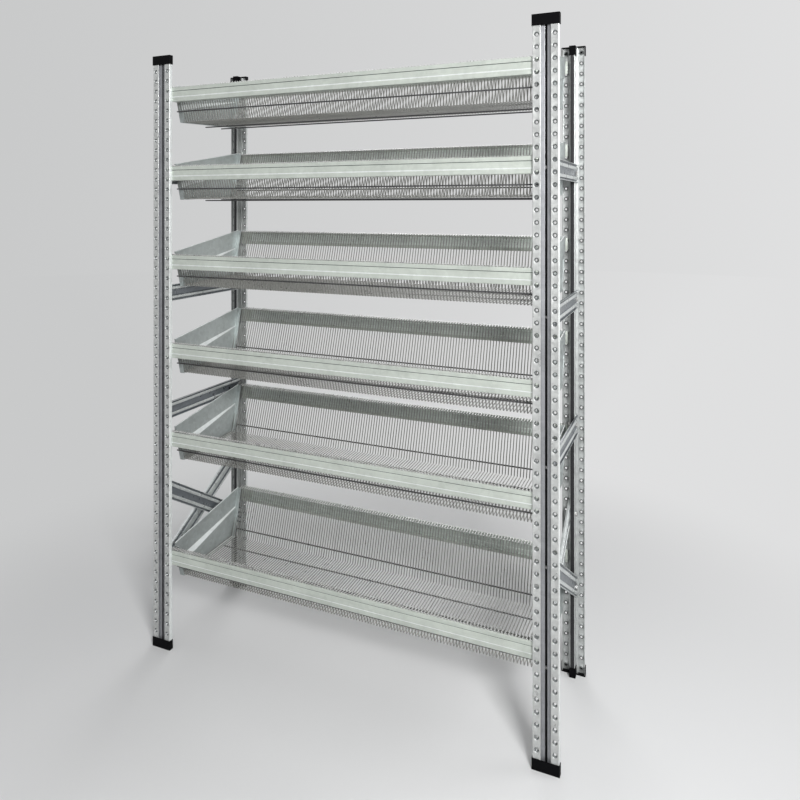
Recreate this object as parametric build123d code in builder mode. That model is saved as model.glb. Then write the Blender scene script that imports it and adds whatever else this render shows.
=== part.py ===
"""One bay of boltless wire basket shelving, in galvanised sheet and wire.

Four T-section uprights carry six wire baskets.  Each basket hangs between a front
beam and a rear beam that sits two holes higher, so the basket tips its goods
forward.  Flat ribbed braces tie the front and rear uprights into side frames.

Millimetres.  X runs along the bay, +Y towards the back, +Z up.  The origin is on
the floor under the middle of the bay.
"""
import math
import os

from build123d import *

os.makedirs("parts", exist_ok=True)

# ---------------------------------------------------------------- the bay
BAY_WIDTH = 1250.0        # between the middles of the left and right uprights
BAY_DEPTH = 420.0         # over the outer faces of the front and rear uprights
UPRIGHT_LENGTH = 1920.0
HOLE_PITCH = 32.0
LID = 3.0                 # end cap under and over each upright
LOWEST_SHELF = 318.0      # top of the lowest front beam above the floor
SHELF_STEPS = (12, 9, 9, 9, 8)    # holes from one shelf up to the next
REAR_LIFT = 2 * HOLE_PITCH        # the rear beam hooks in this much higher

# ---------------------------------------------------------------- upright section
SHEET = 1.5
FACE_HALF = 34.0          # half the width of the face
LIP_DEPTH = 11.0          # side lips, back from the face
GROOVE_HALF = 12.5        # half the width of the sunk middle
GROOVE_DEPTH = 6.5
SLIT_HALF = 2.25          # half the slit in the sunk middle
STEM_HALF = 7.5
STEM_END = 30.0           # back of the hollow stem, from the face
HOLE_COLUMN = 23.25       # each column of holes, from the middle of the face
HOLE_RADIUS = 4.0
DIMPLE_RADIUS = 6.5       # mouth of the pressed cone around each hole
DIMPLE_WALL = 1.0
DIMPLE_DEPTH = 4.5
FIRST_HOLE = 23.0         # lowest hole above the floor
HOLE_COUNT = 60

# ---------------------------------------------------------------- end caps
CAP_WALL = 2.0
CAP_SKIRT = 29.0          # overall height of a cap
CAP_SIDE = 13.0           # how far its side skirts reach back from the face
CAP_CORNER = 1.5          # radius of the two front corners

# ---------------------------------------------------------------- beams
BEAM_HEIGHT = 46.0
BEAM_FACE = 9.0           # beam face behind the upright face
BEAM_FLANGE = 27.0        # depth of the bottom flange
BEAM_LIP = 10.0           # upturned edge of the bottom flange
BEAM_STEP = 2.0           # the top band of the face is sunk by this much
BEAM_BAND = 13.0          # height of the top band
BEAM_HEM = 8.0            # folded top edge
BEAM_END_GAP = 0.5        # between the beam and the lip of the upright
TAB_THICKNESS = 2.0
TAB_INNER = 17.0          # inner end of the hook tab, from the middle of the upright
TAB_WELD = 26.0           # length of tab inside the beam
TAB_CLEAR = 0.2           # between the tab and the lip it passes behind
TAB_EDGE = 3.0            # tab edge below the beam top and above the beam bottom
STUD_RADIUS = 3.6
STUD_DROP = 7.0           # upper stud below the beam top
STUD_TIP = 1.0            # stud tip behind the upright face

# ---------------------------------------------------------------- side braces
BRACE_WIDTH = 54.0
BRACE_DEPTH = 8.0
BRACE_RIDGE = 6.0         # height of the two inner ridges
RIDGE_START = 9.5         # each ridge from and to these distances from the middle
RIDGE_END = 21.0
RIDGE_FLANK = 2.0         # across the strip, of each sloping side of a ridge
BRACE_SHEET = 1.5
BRACE_START = 9.0         # brace end behind the upright face
BRACE_LEVELS = (24, 36, 48)           # level braces, in holes above the floor
RISING_BRACE = (8.0, 15.5)            # front and rear ends, in holes above the floor
FALLING_BRACE = (16.0, 8.5)
BOLT_DEPTH = 19.0         # bolt axis behind the upright face
BOLT_RADIUS = 4.0
BOLT_CLEARANCE = 0.2
BOLT_HEAD = 5.0
NUT_HEIGHT = 6.0
HEX_RADIUS = 7.5          # across the corners, halved

# ---------------------------------------------------------------- baskets
BAR = 2.5                 # each square bar has the metal of two 2 mm wires side by side
BAR_GAPS = 63
BAR_PITCH = 19.07
LONG_WIRE = 4.0           # round wires that run along the bay
WELD = 0.5                # how far they are sunk into the bars
BEND_STRIP = 2.5          # uncut strip beside each bend
SEAM = 0.1                # hairline between two flat stretches
REST_GAP = 0.3            # between the bars and the beam top
ROD_HALF = 606.0
FRONT_END = 14.0          # basket outline behind the frame face, clear of the caps' skirts
FRONT_TOP = 38.0
FRONT_BEND = 64.0
REAR_BEND = 340.0
REAR_TOP = 382.0
REAR_END = 406.0
FLOOR_FRONT = -112.0      # floor of the basket below the front beam top
FLOOR_REAR = -101.0
ROD_FRONT = -72.0         # the front and rear long wires below the front beam top
ROD_REAR = -71.0
ROD_FLOOR = (196.0, 282.0)            # and those under the floor, behind the frame face

# ---------------------------------------------------------------- basket end panels
PANEL_OUTER = 607.0       # outer face from the middle of the bay
PANEL_SHEET = 1.5
PANEL_GAP = 3.0           # between the panel edge and the wires
PANEL_TOP_FRONT = 10.0    # heights above the front beam top, at each end
PANEL_TOP_REAR = 69.0
FOLD_FRONT = -52.0        # outer fold of the joggle
FOLD_REAR = 2.0
JOGGLE_FRONT = 15.0       # how far the joggle steps in, and down
JOGGLE_REAR = 3.0
PANEL_FOOT_FRONT = -108.0
PANEL_FOOT_REAR = -97.0
FOOT_INSET = 2.0          # the lower plate leans out again to its foot
PANEL_FLANGE = 16.0       # flanges turned in along the wires and the floor
PANEL_HEM = 4.0

# ---------------------------------------------------------------- worked out
UPRIGHT_TOP = LID + UPRIGHT_LENGTH
FRONT_FACE = -BAY_DEPTH / 2
MESH_HALF = (BAR_GAPS * BAR_PITCH + BAR) / 2
SHELVES = [LOWEST_SHELF + HOLE_PITCH * sum(SHELF_STEPS[:count]) for count in range(6)]
SHELVES.reverse()         # shelf 1 is the top one


def save(part, name):
    """Label a finished piece and write its file."""
    part.label = name
    export_step(part, f"parts/{name}.step", write_pcurves=False)


def placed(part, name, location):
    """Set a copy of a finished piece at its place, and write it."""
    with BuildPart() as copy:
        add(location * part, clean=False)
    save(copy.part, name)


# ---------------------------------------------------------------- uprights
def upright_half_section():
    """Right half of the folded section: x across the face, y back from it."""
    back = GROOVE_DEPTH + SHEET
    return [
        (SLIT_HALF, GROOVE_DEPTH),
        (GROOVE_HALF, GROOVE_DEPTH),
        (GROOVE_HALF, 0),
        (FACE_HALF, 0),
        (FACE_HALF, LIP_DEPTH),
        (FACE_HALF - SHEET, LIP_DEPTH),
        (FACE_HALF - SHEET, SHEET),
        (GROOVE_HALF + SHEET, SHEET),
        (GROOVE_HALF + SHEET, back),
        (STEM_HALF, back),
        (STEM_HALF, STEM_END),
        (0, STEM_END),
        (0, STEM_END - SHEET),
        (STEM_HALF - SHEET, STEM_END - SHEET),
        (STEM_HALF - SHEET, back + SHEET),
        (SLIT_HALF, back + SHEET),
    ]


def brace_bolt_heights(front):
    """Heights of the brace bolts in a front or a rear upright."""
    end = 0 if front else 1
    steps = list(BRACE_LEVELS) + [RISING_BRACE[end], FALLING_BRACE[end]]
    return [HOLE_PITCH * step for step in steps]


def make_upright(front):
    """An upright with its face at y = 0 and its stem towards +y."""
    holes_middle = FIRST_HOLE + HOLE_PITCH * (HOLE_COUNT - 1) / 2
    face = Plane(origin=(0, 0, holes_middle), x_dir=(1, 0, 0), z_dir=(0, -1, 0))
    with BuildPart() as upright:
        with BuildSketch(Plane.XY.offset(LID)):
            with BuildLine():
                Polyline(*upright_half_section(), close=True)
            make_face()
            mirror(about=Plane.YZ)
        extrude(amount=UPRIGHT_LENGTH)
        with BuildSketch(face.offset(-SHEET)):
            with GridLocations(2 * HOLE_COLUMN, HOLE_PITCH, 2, HOLE_COUNT):
                Circle(DIMPLE_RADIUS + DIMPLE_WALL)
        extrude(amount=SHEET - DIMPLE_DEPTH)
        with Locations(face):
            with GridLocations(2 * HOLE_COLUMN, HOLE_PITCH, 2, HOLE_COUNT):
                CounterSinkHole(HOLE_RADIUS, DIMPLE_RADIUS, depth=DIMPLE_DEPTH)
        with BuildSketch(Plane.YZ):
            for height in brace_bolt_heights(front):
                with Locations((BOLT_DEPTH, height)):
                    Circle(BOLT_RADIUS + BOLT_CLEARANCE)
        extrude(amount=FACE_HALF, both=True, mode=Mode.SUBTRACT)
    return upright.part


# ---------------------------------------------------------------- end caps
def make_cap():
    """A T-shaped plastic cap for the foot of an upright, lid at the bottom."""
    stem_outer = STEM_HALF + CAP_WALL
    with BuildPart() as cap:
        with BuildSketch():
            with Locations((0, (CAP_SIDE - CAP_WALL) / 2)):
                Rectangle(2 * (FACE_HALF + CAP_WALL), CAP_SIDE + CAP_WALL)
            with Locations((0, (STEM_END + CAP_WALL) / 2)):
                Rectangle(2 * stem_outer, STEM_END + CAP_WALL)
        extrude(amount=LID)
        with BuildSketch(Plane.XY.offset(LID)):
            with Locations((0, -CAP_WALL / 2)):
                Rectangle(2 * (FACE_HALF + CAP_WALL), CAP_WALL)
            for side in (-1, 1):
                with Locations((side * (FACE_HALF + CAP_WALL / 2), CAP_SIDE / 2)):
                    Rectangle(CAP_WALL, CAP_SIDE)
            with Locations((0, (GROOVE_DEPTH + 2 * SHEET + STEM_END + CAP_WALL) / 2)):
                Rectangle(2 * stem_outer, STEM_END + CAP_WALL - GROOVE_DEPTH - 2 * SHEET)
            with Locations((0, STEM_END / 2)):
                Rectangle(2 * STEM_HALF, STEM_END, mode=Mode.SUBTRACT)
        extrude(amount=CAP_SKIRT - LID)
        outer = cap.faces().sort_by(Axis.Y)[0]
        fillet(outer.edges().filter_by(Axis.Z), radius=CAP_CORNER)
    return cap.part


# ---------------------------------------------------------------- beams
def beam_section():
    """Outline of the folded beam: y back from the frame face, z from the beam top."""
    face = BEAM_FACE
    band = BEAM_FACE + BEAM_STEP
    back = BEAM_FACE + BEAM_FLANGE
    drop = BEAM_BAND + BEAM_STEP
    bend = SHEET * math.tan(math.radians(22.5))
    return [
        (band, 0),
        (band + 2 * SHEET, 0),
        (band + 2 * SHEET, -BEAM_HEM),
        (band + SHEET, -BEAM_HEM),
        (band + SHEET, -BEAM_BAND - bend),
        (face + SHEET, -drop - bend),
        (face + SHEET, SHEET - BEAM_HEIGHT),
        (back - SHEET, SHEET - BEAM_HEIGHT),
        (back - SHEET, BEAM_LIP - BEAM_HEIGHT),
        (back, BEAM_LIP - BEAM_HEIGHT),
        (back, -BEAM_HEIGHT),
        (face, -BEAM_HEIGHT),
        (face, -drop),
        (band, -BEAM_BAND),
    ]


def make_beam():
    """A beam with its top at z = 0, set behind a frame face at y = 0."""
    beam_half = BAY_WIDTH / 2 - FACE_HALF - BEAM_END_GAP
    tab_start = LIP_DEPTH + TAB_CLEAR
    tab_end = BAY_WIDTH / 2 - TAB_INNER
    tab_height = BEAM_HEIGHT - 2 * TAB_EDGE
    stud_x = BAY_WIDTH / 2 - HOLE_COLUMN
    with BuildPart() as beam:
        with BuildSketch(Plane.YZ):
            with BuildLine():
                Polyline(*beam_section(), close=True)
            make_face()
        extrude(amount=beam_half, both=True)
        with BuildSketch(Plane.XZ.offset(-tab_start)):
            for side in (-1, 1):
                with Locations((side * (beam_half - TAB_WELD + tab_end) / 2, -BEAM_HEIGHT / 2)):
                    Rectangle(tab_end - beam_half + TAB_WELD, tab_height)
        extrude(amount=-TAB_THICKNESS)
        with BuildSketch(Plane.XZ.offset(-BEAM_FACE - SHEET)):
            for side in (-1, 1):
                with Locations((side * (beam_half - TAB_WELD / 2), -BEAM_HEIGHT / 2)):
                    Rectangle(TAB_WELD, tab_height)
        extrude(amount=BEAM_FACE + SHEET - tab_start)
        with BuildSketch(Plane.XZ.offset(-tab_start)):
            for side in (-1, 1):
                for height in (-STUD_DROP, -STUD_DROP - HOLE_PITCH):
                    with Locations((side * stud_x, height)):
                        Circle(STUD_RADIUS)
        extrude(amount=tab_start - STUD_TIP)
    return beam.part


# ---------------------------------------------------------------- side braces
def brace_section():
    """Outline of the ribbed strip: x out from the stem, y across the strip."""
    half = BRACE_WIDTH / 2
    skin = BRACE_SHEET
    ridge = [
        (RIDGE_START, 0),
        (RIDGE_START + RIDGE_FLANK, BRACE_RIDGE),
        (RIDGE_END - RIDGE_FLANK, BRACE_RIDGE),
        (RIDGE_END, 0),
    ]
    upper = [(x, y) for y, x in ridge] + [(0, half), (BRACE_DEPTH, half)]
    upper += [(BRACE_DEPTH, half - skin), (skin, half - skin)]
    upper += [(x + skin, y) for y, x in reversed(ridge)]
    lower = [(x, -y) for x, y in reversed(upper)]
    return upper + lower


def make_brace(front_height, rear_height, side):
    """A brace bolted to one side of the stems of a front and a rear upright."""
    start = FRONT_FACE + BRACE_START
    run = BAY_DEPTH - 2 * BOLT_DEPTH
    slope = math.atan2(rear_height - front_height, run)
    middle = (side * STEM_HALF, 0, (front_height + rear_height) / 2)
    along = (0, math.cos(slope), math.sin(slope))
    across = Plane(origin=middle, x_dir=(side, 0, 0), z_dir=along)
    with BuildPart() as brace:
        with BuildSketch(across):
            with BuildLine():
                Polyline(*brace_section(), close=True)
            make_face()
        extrude(amount=BAY_DEPTH, both=True)
        with BuildSketch(Plane.YZ):
            with Locations((0, middle[2])):
                Rectangle(-2 * start, BAY_DEPTH + 2 * BRACE_WIDTH)
        extrude(amount=BAY_WIDTH, both=True, mode=Mode.INTERSECT)
        with BuildSketch(Plane.YZ):
            with Locations((FRONT_FACE + BOLT_DEPTH, front_height)):
                Circle(BOLT_RADIUS + BOLT_CLEARANCE)
            with Locations((-FRONT_FACE - BOLT_DEPTH, rear_height)):
                Circle(BOLT_RADIUS + BOLT_CLEARANCE)
        extrude(amount=BAY_WIDTH, both=True, mode=Mode.SUBTRACT)
    return brace.part


def brace_bolts():
    """Where the bolts of one side frame are: y, z and the side that the head is on."""
    front = FRONT_FACE + BOLT_DEPTH
    places = []
    for step in BRACE_LEVELS:
        places += [(front, step, 1), (-front, step, 1)]
    places += [(front, FALLING_BRACE[0], 1), (-front, FALLING_BRACE[1], 1)]
    places += [(front, RISING_BRACE[0], -1), (-front, RISING_BRACE[1], -1)]
    return [(y, step * HOLE_PITCH, side) for y, step, side in places]


def make_brace_bolts():
    """The hexagon bolts and nuts of one side frame, as one group of solids."""
    seat = STEM_HALF + BRACE_SHEET
    with BuildPart() as bolts:
        for y, height, side in brace_bolts():
            head = Plane(origin=(side * seat, y, height), x_dir=(0, 1, 0), z_dir=(side, 0, 0))
            with BuildSketch(head):
                RegularPolygon(HEX_RADIUS, 6)
            extrude(amount=BOLT_HEAD)
            with BuildSketch(head):
                Circle(BOLT_RADIUS)
            extrude(amount=-seat - STEM_HALF - NUT_HEIGHT)
            with BuildSketch(head.offset(-seat - STEM_HALF)):
                RegularPolygon(HEX_RADIUS, 6)
            extrude(amount=-NUT_HEIGHT)
    return bolts.part


# ---------------------------------------------------------------- baskets
def basket_line():
    """Middle line of the bars, front to back, with the front beam top at z = 0."""
    rest = REST_GAP + BAR / 2
    points = [
        (FRONT_END, rest),
        (FRONT_TOP, rest),
        (FRONT_BEND, FLOOR_FRONT),
        (REAR_BEND, FLOOR_REAR),
        (REAR_TOP, REAR_LIFT + rest),
        (REAR_END, REAR_LIFT + rest),
    ]
    return [(FRONT_FACE + y, z) for y, z in points]


def side_of(line, distance):
    """The line moved sideways by a distance, mitred at its bends."""
    normals = []
    for (y0, z0), (y1, z1) in zip(line, line[1:]):
        length = math.hypot(y1 - y0, z1 - z0)
        normals.append(((z0 - z1) / length, (y1 - y0) / length))
    moved = []
    for index, (y, z) in enumerate(line):
        before = normals[max(index - 1, 0)]
        after = normals[min(index, len(normals) - 1)]
        reach = distance / (1 + before[0] * after[0] + before[1] * after[1])
        moved.append((y + reach * (before[0] + after[0]), z + reach * (before[1] + after[1])))
    return moved


def make_grille(index):
    """One flat stretch of the basket, between two bends, as a grille of bars."""
    line = basket_line()
    upper = side_of(line, BAR / 2)
    lower = side_of(line, -BAR / 2)
    (y0, z0), (y1, z1) = line[index], line[index + 1]
    length = math.hypot(y1 - y0, z1 - z0)
    along = ((y1 - y0) / length, (z1 - z0) / length)
    middle = Plane(
        origin=(0, (y0 + y1) / 2, (z0 + z1) / 2),
        x_dir=(1, 0, 0),
        z_dir=(0, -along[1], along[0]),
    )

    def past(point, distance):
        return (point[0] + distance * along[0], point[1] + distance * along[1])

    with BuildPart() as grille:
        with BuildSketch(Plane.YZ):
            with BuildLine():
                Polyline(
                    past(upper[index], SEAM / 2),
                    past(upper[index + 1], -SEAM / 2),
                    past(lower[index + 1], -SEAM / 2),
                    past(lower[index], SEAM / 2),
                    close=True,
                )
            make_face()
        extrude(amount=MESH_HALF, both=True)
        with BuildSketch(middle):
            with GridLocations(BAR_PITCH, 0, BAR_GAPS, 1):
                Rectangle(BAR_PITCH - BAR, length - 2 * BEND_STRIP)
        extrude(amount=2 * BAR, both=True, mode=Mode.SUBTRACT)
        if index in (1, 2, 3):
            with BuildSketch(Plane.YZ):
                with Locations(*long_wires(index)):
                    Circle(LONG_WIRE / 2)
            extrude(amount=ROD_HALF, both=True)
    return grille.part


def long_wires(index):
    """Places of the long wires welded to the outside of one stretch of the basket."""
    outside = side_of(basket_line(), WELD - (BAR + LONG_WIRE) / 2)
    (y0, z0), (y1, z1) = outside[index], outside[index + 1]
    if index == 2:
        depths = [FRONT_FACE + depth for depth in ROD_FLOOR]
        return [(y, z0 + (z1 - z0) * (y - y0) / (y1 - y0)) for y in depths]
    height = ROD_FRONT if index == 1 else ROD_REAR
    return [(y0 + (y1 - y0) * (height - z0) / (z1 - z0), height)]


def make_basket_mesh():
    """The welded mesh of one basket, with the front beam top at z = 0."""
    with BuildPart() as mesh:
        for index in range(5):
            add(make_grille(index), clean=False)
    return mesh.part


def panel_edge(height, front):
    """Where the panel stops short of the front or the rear bars at a height."""
    if front:
        share = height / FLOOR_FRONT
        return FRONT_FACE + FRONT_TOP + share * (FRONT_BEND - FRONT_TOP) + PANEL_GAP
    share = (height - FLOOR_REAR) / (REAR_LIFT - FLOOR_REAR)
    return FRONT_FACE + REAR_BEND + share * (REAR_TOP - REAR_BEND) - PANEL_GAP


def panel_line(front_height, rear_height, front_x, rear_x):
    """Two corners of a panel, at its front edge and at its rear edge."""
    return [
        (front_x, panel_edge(front_height, True), front_height),
        (rear_x, panel_edge(rear_height, False), rear_height),
    ]


def shifted(corners, dx=0.0, dz=0.0):
    return [(x + dx, y, z + dz) for x, y, z in corners]


def make_plate(corners, towards):
    """A flat plate on its outer corners, one sheet thick in the given direction."""
    first = Vector(*corners[0])
    across = Vector(*corners[1]) - first
    plane = Plane(origin=first, x_dir=across, z_dir=across.cross(Vector(*corners[-1]) - first))
    flat = [plane.to_local_coords(Vector(*corner)) for corner in corners]
    with BuildPart() as plate:
        with BuildSketch(plane):
            with BuildLine():
                Polyline(*[(corner.X, corner.Y) for corner in flat], close=True)
            make_face()
        extrude(amount=PANEL_SHEET, dir=towards)
    return plate.part


def make_end_panel(side):
    """The sheet end of a basket: an upper plate, a tapering joggle and a lower plate."""
    outer = side * PANEL_OUTER
    front_x = outer - side * JOGGLE_FRONT
    rear_x = outer - side * JOGGLE_REAR
    foot_x = outer - side * FOOT_INSET
    inward = (-side, 0, 0)
    turn = -side * PANEL_FLANGE
    top = panel_line(PANEL_TOP_FRONT, PANEL_TOP_REAR, outer, outer)
    fold = panel_line(FOLD_FRONT, FOLD_REAR, outer, outer)
    step = panel_line(FOLD_FRONT - JOGGLE_FRONT, FOLD_REAR - JOGGLE_REAR, front_x, rear_x)
    foot = panel_line(PANEL_FOOT_FRONT, PANEL_FOOT_REAR, foot_x, foot_x)
    hem = shifted(top, -side * PANEL_SHEET)
    with BuildPart() as panel:
        add(make_plate([*fold, *reversed(top)], inward))
        add(make_plate([*hem, *reversed(shifted(hem, 0, -PANEL_HEM))], inward))
        add(make_plate([*fold, *reversed(step)], inward))
        add(make_plate([step[0], step[1], foot[1]], inward))
        add(make_plate([step[0], foot[1], foot[0]], inward))
        add(make_plate([*foot, *reversed(shifted(foot, turn))], (0, 0, 1)))
        for end, towards_middle in ((0, (0, 1, 0)), (1, (0, -1, 0))):
            edge = [top[end], fold[end], step[end], foot[end]]
            back = shifted([foot[end], top[end]], turn)
            add(make_plate([*edge, *back], towards_middle))
    return panel.part


# ---------------------------------------------------------------- build and write
HALF_TURN = Rotation(0, 0, 180)
CORNERS = {
    "front_left": Pos(-BAY_WIDTH / 2, FRONT_FACE, 0),
    "front_right": Pos(BAY_WIDTH / 2, FRONT_FACE, 0),
    "rear_left": Pos(-BAY_WIDTH / 2, -FRONT_FACE, 0) * HALF_TURN,
    "rear_right": Pos(BAY_WIDTH / 2, -FRONT_FACE, 0) * HALF_TURN,
}

uprights = {"front": make_upright(True), "rear": make_upright(False)}
foot_cap = make_cap()
top_cap = foot_cap.mirror(Plane.XY)
for corner, location in CORNERS.items():
    placed(uprights[corner.split("_")[0]], f"upright_{corner}", location)
    placed(foot_cap, f"foot_cap_{corner}", location)
    placed(top_cap, f"top_cap_{corner}", Pos(0, 0, UPRIGHT_TOP + LID) * location)

beam = make_beam()
basket_mesh = make_basket_mesh()
end_panels = {"left": make_end_panel(-1), "right": make_end_panel(1)}
for number, height in enumerate(SHELVES, start=1):
    rear = Pos(0, -FRONT_FACE, height + REAR_LIFT) * HALF_TURN
    placed(beam, f"front_beam_{number}", Pos(0, FRONT_FACE, height))
    placed(beam, f"rear_beam_{number}", rear)
    placed(basket_mesh, f"basket_{number}_mesh", Pos(0, 0, height))
    for side, end_panel in end_panels.items():
        placed(end_panel, f"basket_{number}_{side}_panel", Pos(0, 0, height))

braces = {"lower": BRACE_LEVELS[0], "middle": BRACE_LEVELS[1], "upper": BRACE_LEVELS[2]}
bolts = make_brace_bolts()
for side, middle in (("left", -BAY_WIDTH / 2), ("right", BAY_WIDTH / 2)):
    for level, step in braces.items():
        level_brace = make_brace(step * HOLE_PITCH, step * HOLE_PITCH, 1)
        placed(level_brace, f"{level}_brace_{side}", Pos(middle, 0, 0))
    rising = make_brace(RISING_BRACE[0] * HOLE_PITCH, RISING_BRACE[1] * HOLE_PITCH, -1)
    falling = make_brace(FALLING_BRACE[0] * HOLE_PITCH, FALLING_BRACE[1] * HOLE_PITCH, 1)
    placed(rising, f"rising_brace_{side}", Pos(middle, 0, 0))
    placed(falling, f"falling_brace_{side}", Pos(middle, 0, 0))
    placed(bolts, f"brace_bolts_{side}", Pos(middle, 0, 0))
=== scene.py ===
# %% [markdown]
# A bay of wire basket shelving, as it stands in a shop or a nursery: folded steel
# uprights full of pressed holes, stepped beams, ribbed braces and six wire baskets.
# The construction model fixes every size, so this lesson is about what such steel
# looks like from close by: rounded folds, dimples, real round wire and zinc.

# %% Load the frame
import math

import bmesh
import bpy
from mathutils import Matrix, Vector


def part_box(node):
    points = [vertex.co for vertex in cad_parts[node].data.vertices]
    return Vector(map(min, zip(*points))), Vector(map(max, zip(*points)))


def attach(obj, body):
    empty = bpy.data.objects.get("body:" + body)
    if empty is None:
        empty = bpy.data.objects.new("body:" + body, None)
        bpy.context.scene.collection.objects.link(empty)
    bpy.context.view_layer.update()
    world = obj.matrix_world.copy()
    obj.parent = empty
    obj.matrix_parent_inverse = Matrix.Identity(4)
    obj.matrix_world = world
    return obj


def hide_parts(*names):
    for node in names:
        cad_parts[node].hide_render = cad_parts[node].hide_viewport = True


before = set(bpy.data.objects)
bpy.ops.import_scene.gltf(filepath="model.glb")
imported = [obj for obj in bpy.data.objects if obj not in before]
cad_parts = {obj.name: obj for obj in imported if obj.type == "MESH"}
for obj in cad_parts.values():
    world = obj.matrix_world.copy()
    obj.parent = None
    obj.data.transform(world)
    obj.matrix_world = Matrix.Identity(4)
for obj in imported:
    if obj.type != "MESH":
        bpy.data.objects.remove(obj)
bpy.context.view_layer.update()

# %% [markdown]
# The sizes that the whole rack shares come first. The bay is measured between the
# middles of its uprights, and the shelves are read from the beams of the frame.

# %% Shared sizes
MM = 0.001
POST_X = 625 * MM
FACE_Y = 210 * MM
POST_BOTTOM = 3 * MM
POST_LENGTH = 1920 * MM
HOLE_PITCH = 32 * MM
SHELF_TOPS = {number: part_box(f"front_beam_{number}")[1][2] for number in range(1, 7)}
REAR_LIFT = 2 * HOLE_PITCH
print("shelf heights", {number: round(top, 3) for number, top in SHELF_TOPS.items()})

# %% [markdown]
# The camera stands level at eye height, a little to the right of the bay, with a
# moderately wide lens. A level camera keeps the uprights upright, and a lens shift
# brings the foot of the rack into the picture, as on a view camera.

# %% Camera
EYE = (0.9922, -1.9710, 1.4363)
LEVEL = math.radians(90)
TURN = math.radians(23.613)
LENS_MM = 31.27
LENS_SHIFT = -0.24216
bpy.ops.object.camera_add(location=EYE, rotation=(LEVEL, 0, TURN))
camera = bpy.context.active_object
camera.name = "camera"
camera.data.lens = LENS_MM
camera.data.sensor_width = 36
camera.data.shift_y = LENS_SHIFT
bpy.context.scene.camera = camera
print("camera lens", camera.data.lens, "mm, shift", camera.data.shift_y)

# %% [markdown]
# Galvanised steel is lit best by its surroundings. The eye and the metal both see a
# pale backdrop, a little greyer to the left and brighter overhead, while matt surfaces
# get less of it, so that the lamps decide which side of a fold or a wire is the bright
# one. The tone of the backdrop depends only on the compass direction, so the same few
# nodes can colour the far floor and the horizon doesn't show.

# %% World
BACKDROP_LEFT = (0.585, 0.59, 0.592, 1)
BACKDROP_RIGHT = (0.74, 0.742, 0.745, 1)
OVERHEAD = (1.15, 1.16, 1.18, 1)
LEFT_HEADING, RIGHT_HEADING = -0.8, 0.11
OVERHEAD_START, OVERHEAD_FULL = 0.35, 0.8
MATT_SHARE = 0.22


def add_node(tree, kind, **settings):
    """A shader node with its settings."""
    node = tree.nodes.new(kind)
    for name, value in settings.items():
        setattr(node, name, value)
    return node


def link(tree, source, output, target, target_input):
    """A wire from one node's output to another's input."""
    tree.links.new(source.outputs[output], target.inputs[target_input])


def backdrop_tone(tree, source, output):
    """The backdrop's colour in a level direction, darker to the left, as a node."""
    flat = add_node(tree, "ShaderNodeVectorMath", operation="MULTIPLY")
    flat.inputs[1].default_value = (1, 1, 0)
    heading = add_node(tree, "ShaderNodeVectorMath", operation="NORMALIZE")
    sideways = add_node(tree, "ShaderNodeSeparateXYZ")
    share = add_node(tree, "ShaderNodeMapRange")
    share.inputs["From Min"].default_value = LEFT_HEADING
    share.inputs["From Max"].default_value = RIGHT_HEADING
    tone = add_node(tree, "ShaderNodeValToRGB")
    tone.color_ramp.elements[0].color = BACKDROP_LEFT
    tone.color_ramp.elements[1].color = BACKDROP_RIGHT
    link(tree, source, output, flat, 0)
    link(tree, flat, "Vector", heading, 0)
    link(tree, heading, "Vector", sideways, "Vector")
    link(tree, sideways, "X", share, "Value")
    link(tree, share, "Result", tone, "Fac")
    return tone


world = bpy.data.worlds.new("studio")
bpy.context.scene.world = world
world.use_nodes = True
sky = world.node_tree
sky.nodes.clear()
direction = add_node(sky, "ShaderNodeTexCoord")
height = add_node(sky, "ShaderNodeSeparateXYZ")
rise = add_node(sky, "ShaderNodeMapRange")
rise.inputs["From Min"].default_value = OVERHEAD_START
rise.inputs["From Max"].default_value = OVERHEAD_FULL
around = backdrop_tone(sky, direction, "Generated")
tones = add_node(sky, "ShaderNodeMix", data_type="RGBA")
tones.inputs[7].default_value = OVERHEAD
seen = add_node(sky, "ShaderNodeBackground")
ambient = add_node(sky, "ShaderNodeBackground")
ambient.inputs["Strength"].default_value = MATT_SHARE
rays = add_node(sky, "ShaderNodeLightPath")
choice = add_node(sky, "ShaderNodeMixShader")
world_output = add_node(sky, "ShaderNodeOutputWorld")
link(sky, direction, "Generated", height, "Vector")
link(sky, height, "Z", rise, "Value")
link(sky, rise, "Result", tones, 0)
link(sky, around, "Color", tones, 6)
link(sky, tones, 2, seen, "Color")
link(sky, tones, 2, ambient, "Color")
link(sky, rays, "Is Diffuse Ray", choice, "Fac")
sky.links.new(seen.outputs[0], choice.inputs[1])
sky.links.new(ambient.outputs[0], choice.inputs[2])
link(sky, choice, "Shader", world_output, "Surface")
print("world nodes", len(sky.nodes))

# %% [markdown]
# One strong soft lamp stands high on the right in front, so that each pressed hole
# shows a bright lower left rim. Weaker ones fill in from the front and the left, one
# at the right side lights the side braces, and one behind lights the wires from above.

# %% Lamps
RACK_MIDDLE = (0, 0, 0.95)
SIDE_MIDDLE = (0.6, 0, 1.3)


def soft_lamp(name, location, size, power, target=RACK_MIDDLE):
    """A large square lamp, in metres and watts, aimed at a point."""
    bpy.ops.object.light_add(type="AREA", location=location)
    lamp = bpy.context.active_object
    lamp.name = name
    aim = Vector(target) - Vector(location)
    lamp.rotation_euler = aim.to_track_quat("-Z", "Y").to_euler()
    lamp.data.size = size
    lamp.data.energy = power
    return lamp


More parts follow.
